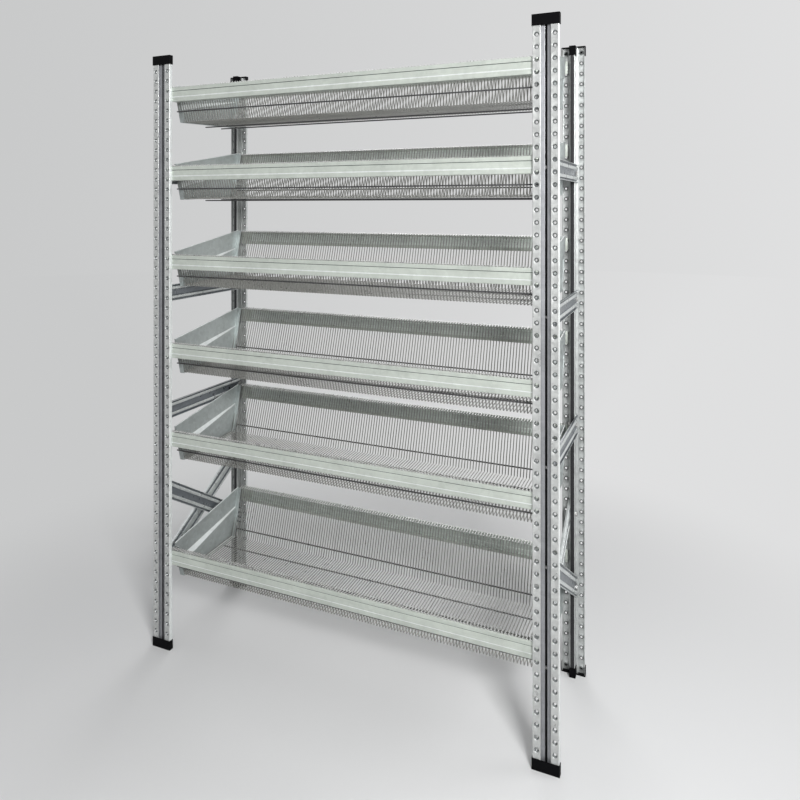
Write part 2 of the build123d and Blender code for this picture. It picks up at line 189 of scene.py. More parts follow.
soft_lamp("lamp_right", (2.1, -2.5, 2.2), 0.9, 118)
soft_lamp("lamp_front", (1.7, -4.2, 1.0), 2.0, 18)
soft_lamp("lamp_side", (2.3, 0.5, 1.5), 0.8, 9, SIDE_MIDDLE)
soft_lamp("lamp_left", (-3.6, -1.2, 3.0), 1.6, 6)
soft_lamp("lamp_behind", (-1.2, 3.8, 3.0), 2.2, 50)
bpy.context.scene.view_settings.view_transform = "Standard"

# %% [markdown]
# The floor is a wide disc in the colour of the backdrop. Near the rack it takes the
# soft contact shadow, and further out it gives way to the plain backdrop colour, so
# that no horizon shows.

# %% Floor
FLOOR_RADIUS = 14
FLOOR_TONE = (0.76, 0.763, 0.766, 1)
SHADOW_START, SHADOW_END = 0.75, 2.0
bpy.ops.mesh.primitive_circle_add(vertices=96, radius=FLOOR_RADIUS, fill_type="NGON")
floor = bpy.context.active_object
floor.name = "floor"
floor_paint = bpy.data.materials.new("floor_paint")
floor_paint.use_nodes = True
ground = floor_paint.node_tree
ground.nodes.clear()
place = add_node(ground, "ShaderNodeTexCoord")
distance = add_node(ground, "ShaderNodeVectorMath", operation="LENGTH")
fade = add_node(ground, "ShaderNodeMapRange", interpolation_type="SMOOTHSTEP")
fade.inputs["From Min"].default_value = SHADOW_START
fade.inputs["From Max"].default_value = SHADOW_END
near = add_node(ground, "ShaderNodeBsdfDiffuse")
near.inputs["Color"].default_value = FLOOR_TONE
horizon = backdrop_tone(ground, place, "Object")
far = add_node(ground, "ShaderNodeEmission")
link(ground, horizon, "Color", far, "Color")
blend = add_node(ground, "ShaderNodeMixShader")
ground_output = add_node(ground, "ShaderNodeOutputMaterial")
link(ground, place, "Object", distance, 0)
link(ground, distance, "Value", fade, "Value")
link(ground, fade, "Result", blend, 0)
ground.links.new(near.outputs[0], blend.inputs[1])
ground.links.new(far.outputs[0], blend.inputs[2])
link(ground, blend, "Shader", ground_output, "Surface")
floor.data.materials.append(floor_paint)
print("floor", round(floor.dimensions.x, 1), "m across")

# %% [markdown]
# The finishes of the rack share two node groups. A group is written much more shortly
# with a few helpers: one opens a group with named sockets, one does sums, one mixes
# colours and one places a texture on the object's own coordinates.

# %% Node tools


def new_group(name, inputs, outputs):
    """A shader node group with named sockets, and its two end nodes."""
    group = bpy.data.node_groups.new(name, "ShaderNodeTree")
    for label, kind, value in inputs:
        socket = group.interface.new_socket(name=label, in_out="INPUT", socket_type=kind)
        socket.default_value = value
    for label, kind in outputs:
        group.interface.new_socket(name=label, in_out="OUTPUT", socket_type=kind)
    return group, group.nodes.new("NodeGroupInput"), group.nodes.new("NodeGroupOutput")


def math_node(tree, operation, first, second):
    """A sum or product of sockets or plain numbers, as an output socket."""
    node = tree.nodes.new("ShaderNodeMath")
    node.operation = operation
    for index, value in enumerate((first, second)):
        if isinstance(value, (int, float)):
            node.inputs[index].default_value = value
        else:
            tree.links.new(value, node.inputs[index])
    return node.outputs[0]


def mix_colour(tree, mode, amount, first, second):
    """A colour mix, as an output socket. Colours may be sockets or tuples."""
    node = tree.nodes.new("ShaderNodeMix")
    node.data_type = "RGBA"
    node.blend_type = mode
    for name, value in (("Factor", amount), ("A", first), ("B", second)):
        kind = "VALUE" if name == "Factor" else "RGBA"
        socket = next(s for s in node.inputs if s.name == name and s.type == kind)
        if isinstance(value, (int, float, tuple)):
            socket.default_value = value
        else:
            tree.links.new(value, socket)
    return next(s for s in node.outputs if s.type == "RGBA")


def texture(tree, kind, vector, output, stretch=(1, 1, 1), **values):
    """A texture on the object's own coordinates, stretched along its axes."""
    mapping = add_node(tree, "ShaderNodeMapping")
    mapping.inputs["Scale"].default_value = stretch
    tree.links.new(vector, mapping.inputs["Vector"])
    node = add_node(tree, kind)
    for name, value in values.items():
        node.inputs[name.replace("_", " ")].default_value = value
    tree.links.new(mapping.outputs[0], node.inputs["Vector"])
    return node.outputs[output]


print("node tools", [tool.__name__ for tool in (new_group, math_node, mix_colour, texture)])

# %% [markdown]
# Hot-dip zinc on sheet is a mosaic of crystals, called spangle, each a little lighter
# or darker than its neighbours, under long faint streaks from the rolling mill. The
# group below gives that as a colour, a roughness and a small height, and every sheet
# material uses it with its own values.

# %% Zinc group
CRYSTALS_PER_METRE = 95
CLOUDS_PER_METRE = 9
ROLL_STRETCH = (1.5, 60, 60)
CLOUD_DEPTH = 0.3
zinc, zinc_in, zinc_out = new_group(
    "zinc_sheet",
    [
        ("Colour", "NodeSocketColor", (0.6, 0.62, 0.61, 1)),
        ("Spangle", "NodeSocketFloat", 0.12),
        ("Streaks", "NodeSocketFloat", 0.1),
        ("Dullness", "NodeSocketFloat", 0.4),
    ],
    [("Colour", "NodeSocketColor"), ("Roughness", "NodeSocketFloat"), ("Height", "NodeSocketFloat")],
)
zinc_place = zinc.nodes.new("ShaderNodeTexCoord").outputs["Object"]
crystals = texture(
    zinc, "ShaderNodeTexVoronoi", zinc_place, "Color", Scale=CRYSTALS_PER_METRE, Randomness=1
)
crystal_tone = zinc.nodes.new("ShaderNodeSeparateColor")
zinc.links.new(crystals, crystal_tone.inputs[0])
cloud = texture(
    zinc, "ShaderNodeTexNoise", zinc_place, "Fac", Scale=CLOUDS_PER_METRE, Detail=4, Roughness=0.6
)
rolled = texture(zinc, "ShaderNodeTexNoise", zinc_place, "Fac", ROLL_STRETCH, Scale=6, Detail=3)
crystal_shift = math_node(zinc, "SUBTRACT", crystal_tone.outputs[0], 0.5)
crystal_shift = math_node(zinc, "MULTIPLY", crystal_shift, zinc_in.outputs["Spangle"])
streak_shift = math_node(zinc, "SUBTRACT", rolled, 0.5)
streak_shift = math_node(zinc, "MULTIPLY", streak_shift, zinc_in.outputs["Streaks"])
cloud_shift = math_node(zinc, "SUBTRACT", cloud, 0.5)
cloud_shift = math_node(zinc, "MULTIPLY", cloud_shift, CLOUD_DEPTH)
shift = math_node(zinc, "ADD", crystal_shift, math_node(zinc, "ADD", streak_shift, cloud_shift))
tone = math_node(zinc, "ADD", 1.0, shift)
tone_colour = zinc.nodes.new("ShaderNodeCombineColor")
for channel in range(3):
    zinc.links.new(tone, tone_colour.inputs[channel])
toned = mix_colour(zinc, "MULTIPLY", 1.0, zinc_in.outputs["Colour"], tone_colour.outputs[0])
zinc.links.new(toned, zinc_out.inputs["Colour"])
CRYSTAL_DULLNESS, CLOUD_DULLNESS = 0.9, 0.7
crystal_rough = math_node(zinc, "MULTIPLY", crystal_shift, CRYSTAL_DULLNESS)
cloud_rough = math_node(zinc, "MULTIPLY", cloud_shift, CLOUD_DULLNESS)
rough = math_node(zinc, "ADD", zinc_in.outputs["Dullness"], crystal_rough)
rough = math_node(zinc, "ADD", rough, cloud_rough)
zinc.links.new(rough, zinc_out.inputs["Roughness"])
relief_height = math_node(zinc, "ADD", cloud, math_node(zinc, "MULTIPLY", rolled, 0.6))
zinc.links.new(relief_height, zinc_out.inputs["Height"])
print("zinc group outputs", [socket.name for socket in zinc_out.inputs if socket.name])

# %% [markdown]
# Handling leaves its own layer of grey smudges where hands and boxes rub. One group
# makes their mask from broken noise, and darkens and dulls whatever colour it is given.

# %% Handling group
SMUDGE_START, SMUDGE_FULL = 0.52, 0.8
SMUDGE_DULLNESS = 0.35
handling, handling_in, handling_out = new_group(
    "handling",
    [
        ("Colour", "NodeSocketColor", (0.5, 0.5, 0.5, 1)),
        ("Roughness", "NodeSocketFloat", 0.4),
        ("Grime", "NodeSocketColor", (0.1, 0.1, 0.1, 1)),
        ("Amount", "NodeSocketFloat", 0.3),
    ],
    [("Colour", "NodeSocketColor"), ("Roughness", "NodeSocketFloat")],
)
handling_place = handling.nodes.new("ShaderNodeTexCoord").outputs["Object"]
smudges = texture(
    handling, "ShaderNodeTexNoise", handling_place, "Fac", Scale=17, Detail=7, Roughness=0.68
)
smudge_range = add_node(handling, "ShaderNodeMapRange", interpolation_type="SMOOTHSTEP")
smudge_range.inputs["From Min"].default_value = SMUDGE_START
smudge_range.inputs["From Max"].default_value = SMUDGE_FULL
handling.links.new(smudges, smudge_range.inputs["Value"])
smudge_mask = math_node(handling, "MULTIPLY", smudge_range.outputs[0], handling_in.outputs["Amount"])
marked = mix_colour(
    handling, "MIX", smudge_mask, handling_in.outputs["Colour"], handling_in.outputs["Grime"]
)
handling.links.new(marked, handling_out.inputs["Colour"])
smudge_rough = math_node(handling, "MULTIPLY", smudge_mask, SMUDGE_DULLNESS)
duller = math_node(handling, "ADD", handling_in.outputs["Roughness"], smudge_rough)
handling.links.new(duller, handling_out.inputs["Roughness"])
print("handling group outputs", [socket.name for socket in handling_out.inputs if socket.name])

# %% [markdown]
# All the parts are zinc on steel, but they aren't one colour. The uprights are bright,
# with painted shade in their groove, in their funnels and inside their stem, the beams
# have a pale grey-green passivation, the basket ends are blue-grey, the valleys of the
# braces are painted darker as shade, and the bolts and wires are duller. The inner
# skins, the steps of the beams, the lips of the uprights, the ledges of the basket ends
# and the tops of the curled wires carry painted light and shade as well. Each of them
# gets its own material from the same two groups.

# %% Sheet materials
RELIEF_DEPTH = 0.0006
GRIME_TONE = 0.45


def use_group(tree, group, **values):
    """A group placed in a material, with its own values."""
    node = tree.nodes.new("ShaderNodeGroup")
    node.node_tree = group
    for name, value in values.items():
        node.inputs[name].default_value = value
    return node


def zinc_material(name, colour, dullness, spangle=0.12, streaks=0.1, metal=0.6, grime=0.3):
    """Galvanised steel: zinc, then handling marks, then a very shallow bump."""
    material = bpy.data.materials.new(name)
    material.use_nodes = True
    tree = material.node_tree
    surface = tree.nodes["Principled BSDF"]
    surface.inputs["Metallic"].default_value = metal
    coat = use_group(tree, zinc, Colour=(*colour, 1), Spangle=spangle, Streaks=streaks)
    coat.inputs["Dullness"].default_value = dullness
    marks = use_group(tree, handling, Amount=grime)
    marks.inputs["Grime"].default_value = (*[GRIME_TONE * part for part in colour], 1)
    link(tree, coat, "Colour", marks, "Colour")
    link(tree, coat, "Roughness", marks, "Roughness")
    link(tree, marks, "Colour", surface, "Base Color")
    link(tree, marks, "Roughness", surface, "Roughness")
    relief = add_node(tree, "ShaderNodeBump")
    relief.inputs["Strength"].default_value = 0.25
    relief.inputs["Distance"].default_value = RELIEF_DEPTH
    link(tree, coat, "Height", relief, "Height")
    link(tree, relief, "Normal", surface, "Normal")
    return material


print("sheet relief is", RELIEF_DEPTH / MM, "mm deep")

# %% [markdown]
# The table gives each finish its colour and its dullness, and then whatever differs
# from plain sheet: the strength of the spangle and the streaks, how much of the surface
# is bare bright metal, and how much handling it has seen.

# %% Table of finishes
FINISHES = {
    "upright_zinc": ((0.44, 0.45, 0.443), 0.36, {"spangle": 0.16, "streaks": 0.16, "metal": 0.4}),
    # painted shade: the sunk groove of the upright, darker than the face
    "groove_painted_shade": ((0.25, 0.255, 0.268), 0.4, {"spangle": 0.1, "streaks": 0.2, "grime": 0.5}),
    # painted shade: the inside of each pressed funnel, darker than the face
    "funnel_painted_shade": ((0.2, 0.21, 0.21), 0.25, {"spangle": 0, "metal": 0.5}),
    # painted light: the upright's inner skin, in a tone set for how light falls there
    "upright_inside_painted_light": ((0.47, 0.485, 0.48), 0.42, {"spangle": 0.16, "streaks": 0.16, "grime": 0.5}),
    # painted shade: the hollow inside the stem, nearly black
    "stem_painted_shade": ((0.03, 0.03, 0.032), 0.6, {"spangle": 0.1, "streaks": 0.2, "grime": 0.5}),
    "beam_zinc": ((0.46, 0.495, 0.453), 0.4, {"spangle": 0.08, "streaks": 0.2, "metal": 0.3}),
    # painted light: the beam's inner skin, in a tone set for how light falls there
    "beam_inside_painted_light": ((0.62, 0.66, 0.63), 0.5, {"spangle": 0.1, "streaks": 0.2, "grime": 0.5}),
    # painted shade: the thin dark line of the upper beam step
    "beam_step_painted_shade": ((0.12, 0.14, 0.13), 0.5, {"spangle": 0.1, "streaks": 0.2, "grime": 0.5}),
    "panel_zinc": ((0.42, 0.455, 0.45), 0.44, {"spangle": 0.2}),
    # painted highlight: upright lips, the lower beam step and upward panel faces
    "edge_painted_highlight": ((0.7, 0.73, 0.72), 0.36, {"spangle": 0.1, "metal": 0.3}),
    "brace_zinc": ((0.55, 0.575, 0.57), 0.34, {"spangle": 0.16, "streaks": 0.14}),
    # painted shade: the sunk valleys between the brace ridges
    "brace_valley_painted_shade": ((0.16, 0.175, 0.19), 0.34, {"spangle": 0.16, "streaks": 0.14}),
    "bolt_zinc": ((0.45, 0.45, 0.44), 0.4, {"spangle": 0.05, "streaks": 0.05, "grime": 0.6}),
    "wire_zinc": ((0.295, 0.295, 0.278), 0.33, {"spangle": 0.1, "metal": 0.75, "grime": 0.35}),
    "wire_dark": ((0.09, 0.09, 0.092), 0.35, {"spangle": 0.1, "metal": 0.75, "grime": 0.35}),
    # painted highlight: the upward faces of the curled wire ends
    "wire_tops_painted_highlight": ((0.6, 0.6, 0.59), 0.3, {"spangle": 0.1, "metal": 0.5, "grime": 0.35}),
}
finishes = {
    name: zinc_material(name, colour, dullness, **more)
    for name, (colour, dullness, more) in FINISHES.items()
}
print("zinc finishes", sorted(finishes))

# %% [markdown]
# The caps are injection-moulded polypropylene, near black. The grain of the mould
# keeps it from shining, and floor scuffs leave paler, drier patches on its skirts.

# %% Cap plastic
NEAR_BLACK = (0.002, 0.002, 0.0025, 1)
SCUFFED_BLACK = (0.004, 0.004, 0.004, 1)
GRAINS_PER_METRE = 1900
GRAIN_DEPTH = 0.0003
cap_plastic = bpy.data.materials.new("cap_plastic")
cap_plastic.use_nodes = True
plastic = cap_plastic.node_tree
plastic_surface = plastic.nodes["Principled BSDF"]
scuffs = use_group(plastic, handling, Colour=NEAR_BLACK, Roughness=0.5, Grime=SCUFFED_BLACK, Amount=0.5)
plastic_surface.inputs["Specular IOR Level"].default_value = 0.05
link(plastic, scuffs, "Colour", plastic_surface, "Base Color")
link(plastic, scuffs, "Roughness", plastic_surface, "Roughness")
plastic_place = plastic.nodes.new("ShaderNodeTexCoord").outputs["Object"]
grain = texture(plastic, "ShaderNodeTexNoise", plastic_place, "Fac", Scale=GRAINS_PER_METRE, Detail=2)
grain_bump = add_node(plastic, "ShaderNodeBump")
grain_bump.inputs["Strength"].default_value = 0.35
grain_bump.inputs["Distance"].default_value = GRAIN_DEPTH
plastic.links.new(grain, grain_bump.inputs["Height"])
link(plastic, grain_bump, "Normal", plastic_surface, "Normal")
print("cap plastic nodes", len(plastic.nodes))

# %% [markdown]
# Blender's operators act on whatever is selected, so every step starts by selecting
# exactly what it needs. These tools do that, and apply a modifier as soon as it is added.

# %% Selecting and modifying
SEAM = 0.00005
HAIR = 0.000001


def deselect():
    """Nothing selected, and no edit mode."""
    if bpy.context.object and bpy.context.object.mode == "EDIT":
        bpy.ops.object.mode_set(mode="OBJECT")
    bpy.ops.object.select_all(action="DESELECT")


def activate(*objects):
    """Exactly these objects selected, the first one active."""
    deselect()
    for item in objects:
        item.select_set(True)
    bpy.context.view_layer.objects.active = objects[0]


def apply_modifier(piece, kind, **settings):
    """A modifier added and applied at once."""
    activate(piece)
    modifier = piece.modifiers.new(kind.lower(), kind)
    for name, value in settings.items():
        setattr(modifier, name, value)
    bpy.ops.object.modifier_apply(modifier=modifier.name)


def repeat(piece, count, step):
    """A row of the same shape, each one a step further on."""
    spacing = {"use_relative_offset": False, "use_constant_offset": True}
    apply_modifier(piece, "ARRAY", count=count, constant_offset_displace=step, **spacing)


def join(name, *pieces):
    """One object out of several."""
    activate(*pieces)
    bpy.ops.object.join()
    joined = bpy.context.active_object
    joined.name = joined.data.name = name
    return joined


def merge_and_turn_out(piece, distance=SEAM):
    """Doubles merged, and every face made to point outwards."""
    activate(piece)
    bpy.ops.object.mode_set(mode="EDIT")
    bpy.ops.mesh.select_all(action="SELECT")
    bpy.ops.mesh.remove_doubles(threshold=distance)
    bpy.ops.mesh.normals_make_consistent(inside=False)
    bpy.ops.object.mode_set(mode="OBJECT")


print("seams merge within", SEAM / MM, "mm")

# %% [markdown]
# Nearly every part is a flat sheet folded on a press brake. It is modelled the same
# way: one edge is extruded from fold line to fold line, a bevel gives each fold its
# radius, and a solidify modifier gives the sheet its thickness. Both skins of a sheet
# get a finish of their own, so that the inside of a fold can take a tone of painted
# light, set for how the light falls there.

# %% Folding tools


def fold_sheet(name, lines):
    """A sheet without thickness, through fold lines that each have two end points."""
    deselect()
    bpy.ops.mesh.primitive_plane_add(size=0.1)
    piece = bpy.context.active_object
    piece.name = piece.data.name = name
    bpy.ops.object.mode_set(mode="EDIT")
    mesh = bmesh.from_edit_mesh(piece.data)
    for corner in mesh.verts:
        corner.select_set(corner.co.y > 0)
    mesh.select_flush_mode()
    bpy.ops.mesh.delete(type="VERT")
    bpy.ops.mesh.select_all(action="SELECT")
    mesh = bmesh.from_edit_mesh(piece.data)
    ends = sorted(mesh.verts, key=lambda corner: corner.co.x)
    for corner, spot in zip(ends, lines[0]):
        corner.co = spot
    for before, after in zip(lines, lines[1:]):
        bpy.ops.mesh.extrude_region_move()
        mesh = bmesh.from_edit_mesh(piece.data)
        moving = [corner for corner in mesh.verts if corner.select]
        moving.sort(key=lambda corner: (corner.co - Vector(before[0])).length)
        for corner, spot in zip(moving, after):
            corner.co = spot
    bpy.ops.object.mode_set(mode="OBJECT")
    return piece


def press(piece, thickness, radius=0.0, angle=20, skins=()):
    """Rounds a sheet's folds, gives it its thickness and its two skins their own slots."""
    if radius:
        limit = {"limit_method": "ANGLE", "angle_limit": math.radians(angle)}
        apply_modifier(piece, "BEVEL", width=radius, segments=3, **limit)
    merge_and_turn_out(piece)
    for finish in skins:
        piece.data.materials.append(finish)
    slots = {"material_offset": 1, "material_offset_rim": 0}
    apply_modifier(piece, "SOLIDIFY", thickness=thickness, offset=0, use_even_offset=True, **slots)
    merge_and_turn_out(piece, HAIR)


def mark_inside(piece, outward):
    """On each separate sheet, index 0 for the skin towards a direction and 1 for the other."""
    mesh = bmesh.new()
    mesh.from_mesh(piece.data)
    waiting = set(mesh.faces)
    while waiting:
        sheet = [waiting.pop()]
        for face in sheet:
            for neighbour in {near for edge in face.edges for near in edge.link_faces} & waiting:
                waiting.remove(neighbour)
                sheet.append(neighbour)
        count = [0, 0]
        for face in sheet:
            if face.normal.dot(outward) > 0.9:
                count[face.material_index] += face.calc_area()
        if count[1] > count[0]:
            for face in sheet:
                face.material_index = 1 - face.material_index
    mesh.to_mesh(piece.data)
    mesh.free()


def smooth(piece, angle=35):
    """Smooth shading that keeps the sheet's cut edges crisp."""
    activate(piece)
    bpy.ops.object.shade_smooth_by_angle(angle=math.radians(angle))


print("folding tools", [tool.__name__ for tool in (fold_sheet, press, mark_inside, smooth)])

# %% [markdown]
# A shape that repeats is modelled once, near the origin, and copied with its own mesh.
# Each finished piece then keeps its place in its mesh, takes its finishes, rides on its
# body and stands in for the node of the construction model that has the same part.

# %% Placing tools


def settle(piece):
    """The piece's place goes into its mesh, and its object to the origin."""
    activate(piece)
    bpy.ops.object.transform_apply(location=True, rotation=True, scale=True)


def copy_to(master, name, placement):
    """A copy with its own mesh, at another place."""
    twin = master.copy()
    twin.data = master.data.copy()
    twin.name = twin.data.name = name
    bpy.context.scene.collection.objects.link(twin)
    twin.matrix_world = placement
    settle(twin)
    return twin


def finish_piece(piece, body, node, slot_name, *finishes):
    """Paints a piece, ties it to its body and puts it in the place of its node."""
    for place, finish in enumerate(finishes):
        if place < len(piece.data.materials):
            piece.data.materials[place] = finish
        else:
            piece.data.materials.append(finish)
    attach(piece, body)
    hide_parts(node)


def discard(piece):
    """Removes a master once its copies stand."""
    bpy.data.objects.remove(piece, do_unlink=True)


HALF_TURN = Matrix.Rotation(math.pi, 4, "Z")
print("placing tools", [tool.__name__ for tool in (settle, copy_to, finish_piece, discard)])

# %% [markdown]
# An upright is a T-shaped fold with lips, a sunk middle and a hollow stem. Its two
# columns of holes are pressed, not just punched: each one is a small funnel. One
# funnel is modelled in a square of sheet, by bridging a square outline to a circle and
# extruding the circle inwards ring by ring, and the square is then arrayed.

# %% Dimpled strip
STRIP_IN = 14.5 * MM
STRIP_OUT = 32 * MM
FUNNEL_MOUTH = 7.6
FUNNEL = [(7.0, 0.3), (6.4, 1.3), (5.1, 3.4), (4.2, 4.9), (3.6, 5.2)]
CLOSE = 0.0001
HOLE_COLUMN = 23.25 * MM
SKIN = 1.5 * MM


def dimpled_strip():
    """A strip of sheet in the XY plane, as long as an upright, with a row of funnels."""
    deselect()
    bpy.ops.mesh.primitive_grid_add(x_subdivisions=4, y_subdivisions=4, size=1)
    strip = bpy.context.active_object
    strip.name = "dimpled_strip"
    strip.scale = (STRIP_OUT - STRIP_IN, HOLE_PITCH, 1)
    settle(strip)
    bpy.ops.object.mode_set(mode="EDIT")
    mesh = bmesh.from_edit_mesh(strip.data)
    reach_x = (STRIP_OUT - STRIP_IN) / 2 - CLOSE
    reach_y = HOLE_PITCH / 2 - CLOSE
    for corner in mesh.verts:
        corner.select_set(abs(corner.co.x) < reach_x and abs(corner.co.y) < reach_y)
    mesh.select_flush_mode()
    bpy.ops.mesh.delete(type="VERT")
    bpy.ops.mesh.primitive_circle_add(vertices=16, radius=FUNNEL_MOUTH * MM)
    bpy.ops.mesh.select_all(action="SELECT")
    bpy.ops.mesh.bridge_edge_loops()
    radius, depth = FUNNEL_MOUTH, 0.0
    for next_radius, next_depth in FUNNEL:
        mesh = bmesh.from_edit_mesh(strip.data)
        bpy.ops.mesh.select_all(action="DESELECT")
        for edge in mesh.edges:
            on_rim = all(abs(end.co.xy.length - radius * MM) < SEAM for end in edge.verts)
            edge.select_set(on_rim and edge.is_boundary)
        mesh.select_flush(True)
        bpy.ops.mesh.extrude_edges_move()
        scale = next_radius / radius
        bpy.ops.transform.resize(value=(scale, scale, 1), center_override=(0, 0, 0))
        bpy.ops.transform.translate(value=(0, 0, (depth - next_depth) * MM))
        radius, depth = next_radius, next_depth
    bpy.ops.object.mode_set(mode="OBJECT")
    repeat(strip, round(POST_LENGTH / HOLE_PITCH), (0, HOLE_PITCH, 0))
    merge_and_turn_out(strip)
    return strip


print("funnels in a column", round(POST_LENGTH / HOLE_PITCH))

# %% [markdown]
# The rest of the section is folded. Only its right half is drawn, in two strips on
# either side of the dimpled one, and a mirror modifier makes the left half. The strips
# are cut at the same heights as the dimpled one, so that all three join without gaps.

# %% Upright
SECTION_OUTER = [(33.25, 11), (33.25, 0.75), (32, 0.75)]
SECTION_INNER = [(14.5, 0.75), (13.25, 0.75), (13.25, 7.25), (3, 7.25), (3, 9.2), (6.75, 9.2)]
SECTION_INNER += [(6.75, 29.25), (0, 29.25)]
FOLD_RADIUS = 1.1 * MM
GRID_STEP = HOLE_PITCH / 4
FACE_LINE = 0.75
SHADED_FUNNEL = 6.2 * MM
GROOVE_HALF = 13 * MM
STEM_HALF = 7 * MM
STEM_START = 7 * MM
LIP_START = 33 * MM


def upright_strip(name, section):
    """Part of the upright's section as a folded sheet, cut up like the dimpled strip."""
    top = POST_BOTTOM + GRID_STEP
    lines = [((x * MM, y * MM, POST_BOTTOM), (x * MM, y * MM, top)) for x, y in section]
    strip = fold_sheet(name, lines)
    limit = {"limit_method": "ANGLE", "angle_limit": math.radians(30)}
    apply_modifier(strip, "BEVEL", width=FOLD_RADIUS, segments=3, **limit)
    repeat(strip, round(POST_LENGTH / GRID_STEP), (0, 0, GRID_STEP))
    return strip


def upright_master():
    """A whole upright with its face at y = 0 and its stem towards +y."""
    outer = upright_strip("outer", SECTION_OUTER)
    inner = upright_strip("inner", SECTION_INNER)
    holes = dimpled_strip()
    holes.rotation_euler = (math.radians(90), 0, 0)
    holes.location = ((STRIP_IN + STRIP_OUT) / 2, FACE_LINE * MM, POST_BOTTOM + HOLE_PITCH / 2)
    settle(holes)
    half = join("upright_master", outer, inner, holes)
    apply_modifier(half, "MIRROR", use_axis=(True, False, False), use_clip=True, merge_threshold=0.0001)
    press(half, SKIN, skins=UPRIGHT_FINISHES)
    # The inner skin gets a tone of its own, painted light.
    mark_inside(half, Vector((0, -1, 0)))
    paint_upright(half)
    smooth(half)
    return half


print("fold lines in half a section", len(SECTION_OUTER) + len(SECTION_INNER) - 2)

# %% [markdown]
# The bright face of an upright is only part of it. Its groove and its funnels are painted
# darker as shade, the hollow of the stem is painted nearly black as shade and the outer
# lips carry a painted highlight, so the faces are given their finishes by their place.

# %% Upright finishes


def paint_upright(post):
    """Painted shade: 2 in the groove, 3 in the funnels, 4 in the stem. Painted highlight: 5 on the
    lips.
    """
    for face in post.data.polygons:
        x, y, z = face.center
        across = abs(abs(x) - HOLE_COLUMN)
        along = (z - POST_BOTTOM) % HOLE_PITCH - HOLE_PITCH / 2
        looks_in = x * face.normal.x <= 0 and abs(face.normal.z) < 0.5
        front_skin = face.material_index == 0
        if math.hypot(across, along) < SHADED_FUNNEL and y > 0.2 * MM:
            face.material_index = 3
        elif front_skin and abs(x) < GROOVE_HALF and 1 * MM < y < STEM_START:
            face.material_index = 2
        elif abs(x) < STEM_HALF and y > STEM_START and looks_in:
            face.material_index = 4
        # painted highlight on the outer lips
        elif front_skin and abs(x) > LIP_START and abs(face.normal.x) > 0.7:
            face.material_index = 5


POSTS = {
    "front_left": Matrix.Translation((-POST_X, -FACE_Y, 0)),
    "front_right": Matrix.Translation((POST_X, -FACE_Y, 0)),
    "rear_left": Matrix.Translation((-POST_X, FACE_Y, 0)) @ HALF_TURN,
    "rear_right": Matrix.Translation((POST_X, FACE_Y, 0)) @ HALF_TURN,
}
UPRIGHT_SKINS = ["upright_zinc", "upright_inside_painted_light", "groove_painted_shade", "funnel_painted_shade", "stem_painted_shade"]
UPRIGHT_FINISHES = [finishes[name] for name in (*UPRIGHT_SKINS, "edge_painted_highlight")]
post_master = upright_master()
for corner, placement in POSTS.items():
    post = copy_to(post_master, f"upright_sheet_{corner}", placement)
    finish_piece(post, "frame", f"upright_{corner}", "upright_steel", *UPRIGHT_FINISHES)
print("upright faces", len(post_master.data.polygons))
discard(post_master)

# %% [markdown]
# A beam is a long channel, open at the top, with two shallow steps rolled along its
# face. The steps stiffen it. The upper one is painted as a thin dark line of shade, and
# the lower one as a thin painted highlight, so both get a finish of their own. Each end
# carries a plate that passes behind the upright's face, with two studs that sit in its
# holes.

# %% Beams
BEAM_HALF = 590.5 * MM
BEAM_SECTION = [
    (13.5, -8),
    (13.5, -0.75),
    (10.6, -0.75),
    (10.6, -11.6),
    (12.2, -12.9),
    (11.3, -14.4),
    (9.75, -31),
    (10.9, -32.6),
    (10.9, -45.25),
    (35.25, -45.25),
    (35.25, -36),
]
BEAM_STEPS = {2: (-13.6, -11.3), 3: (-32.9, -30.4)}
BEAM_FINISHES = [finishes[name] for name in ("beam_zinc", "beam_inside_painted_light", "beam_step_painted_shade", "edge_painted_highlight")]
BEAM_FACE_DEPTH = 14 * MM
BRACKET_START = BEAM_HALF - 26 * MM
BRACKET_END = 608 * MM
BRACKET_DEPTH = 12.2 * MM
BRACKET_EDGES = (-3, -43)
BRACKET_SHEET = 2 * MM
STUD_DROPS = (7, 39)
STUD_RADIUS = 3.3 * MM


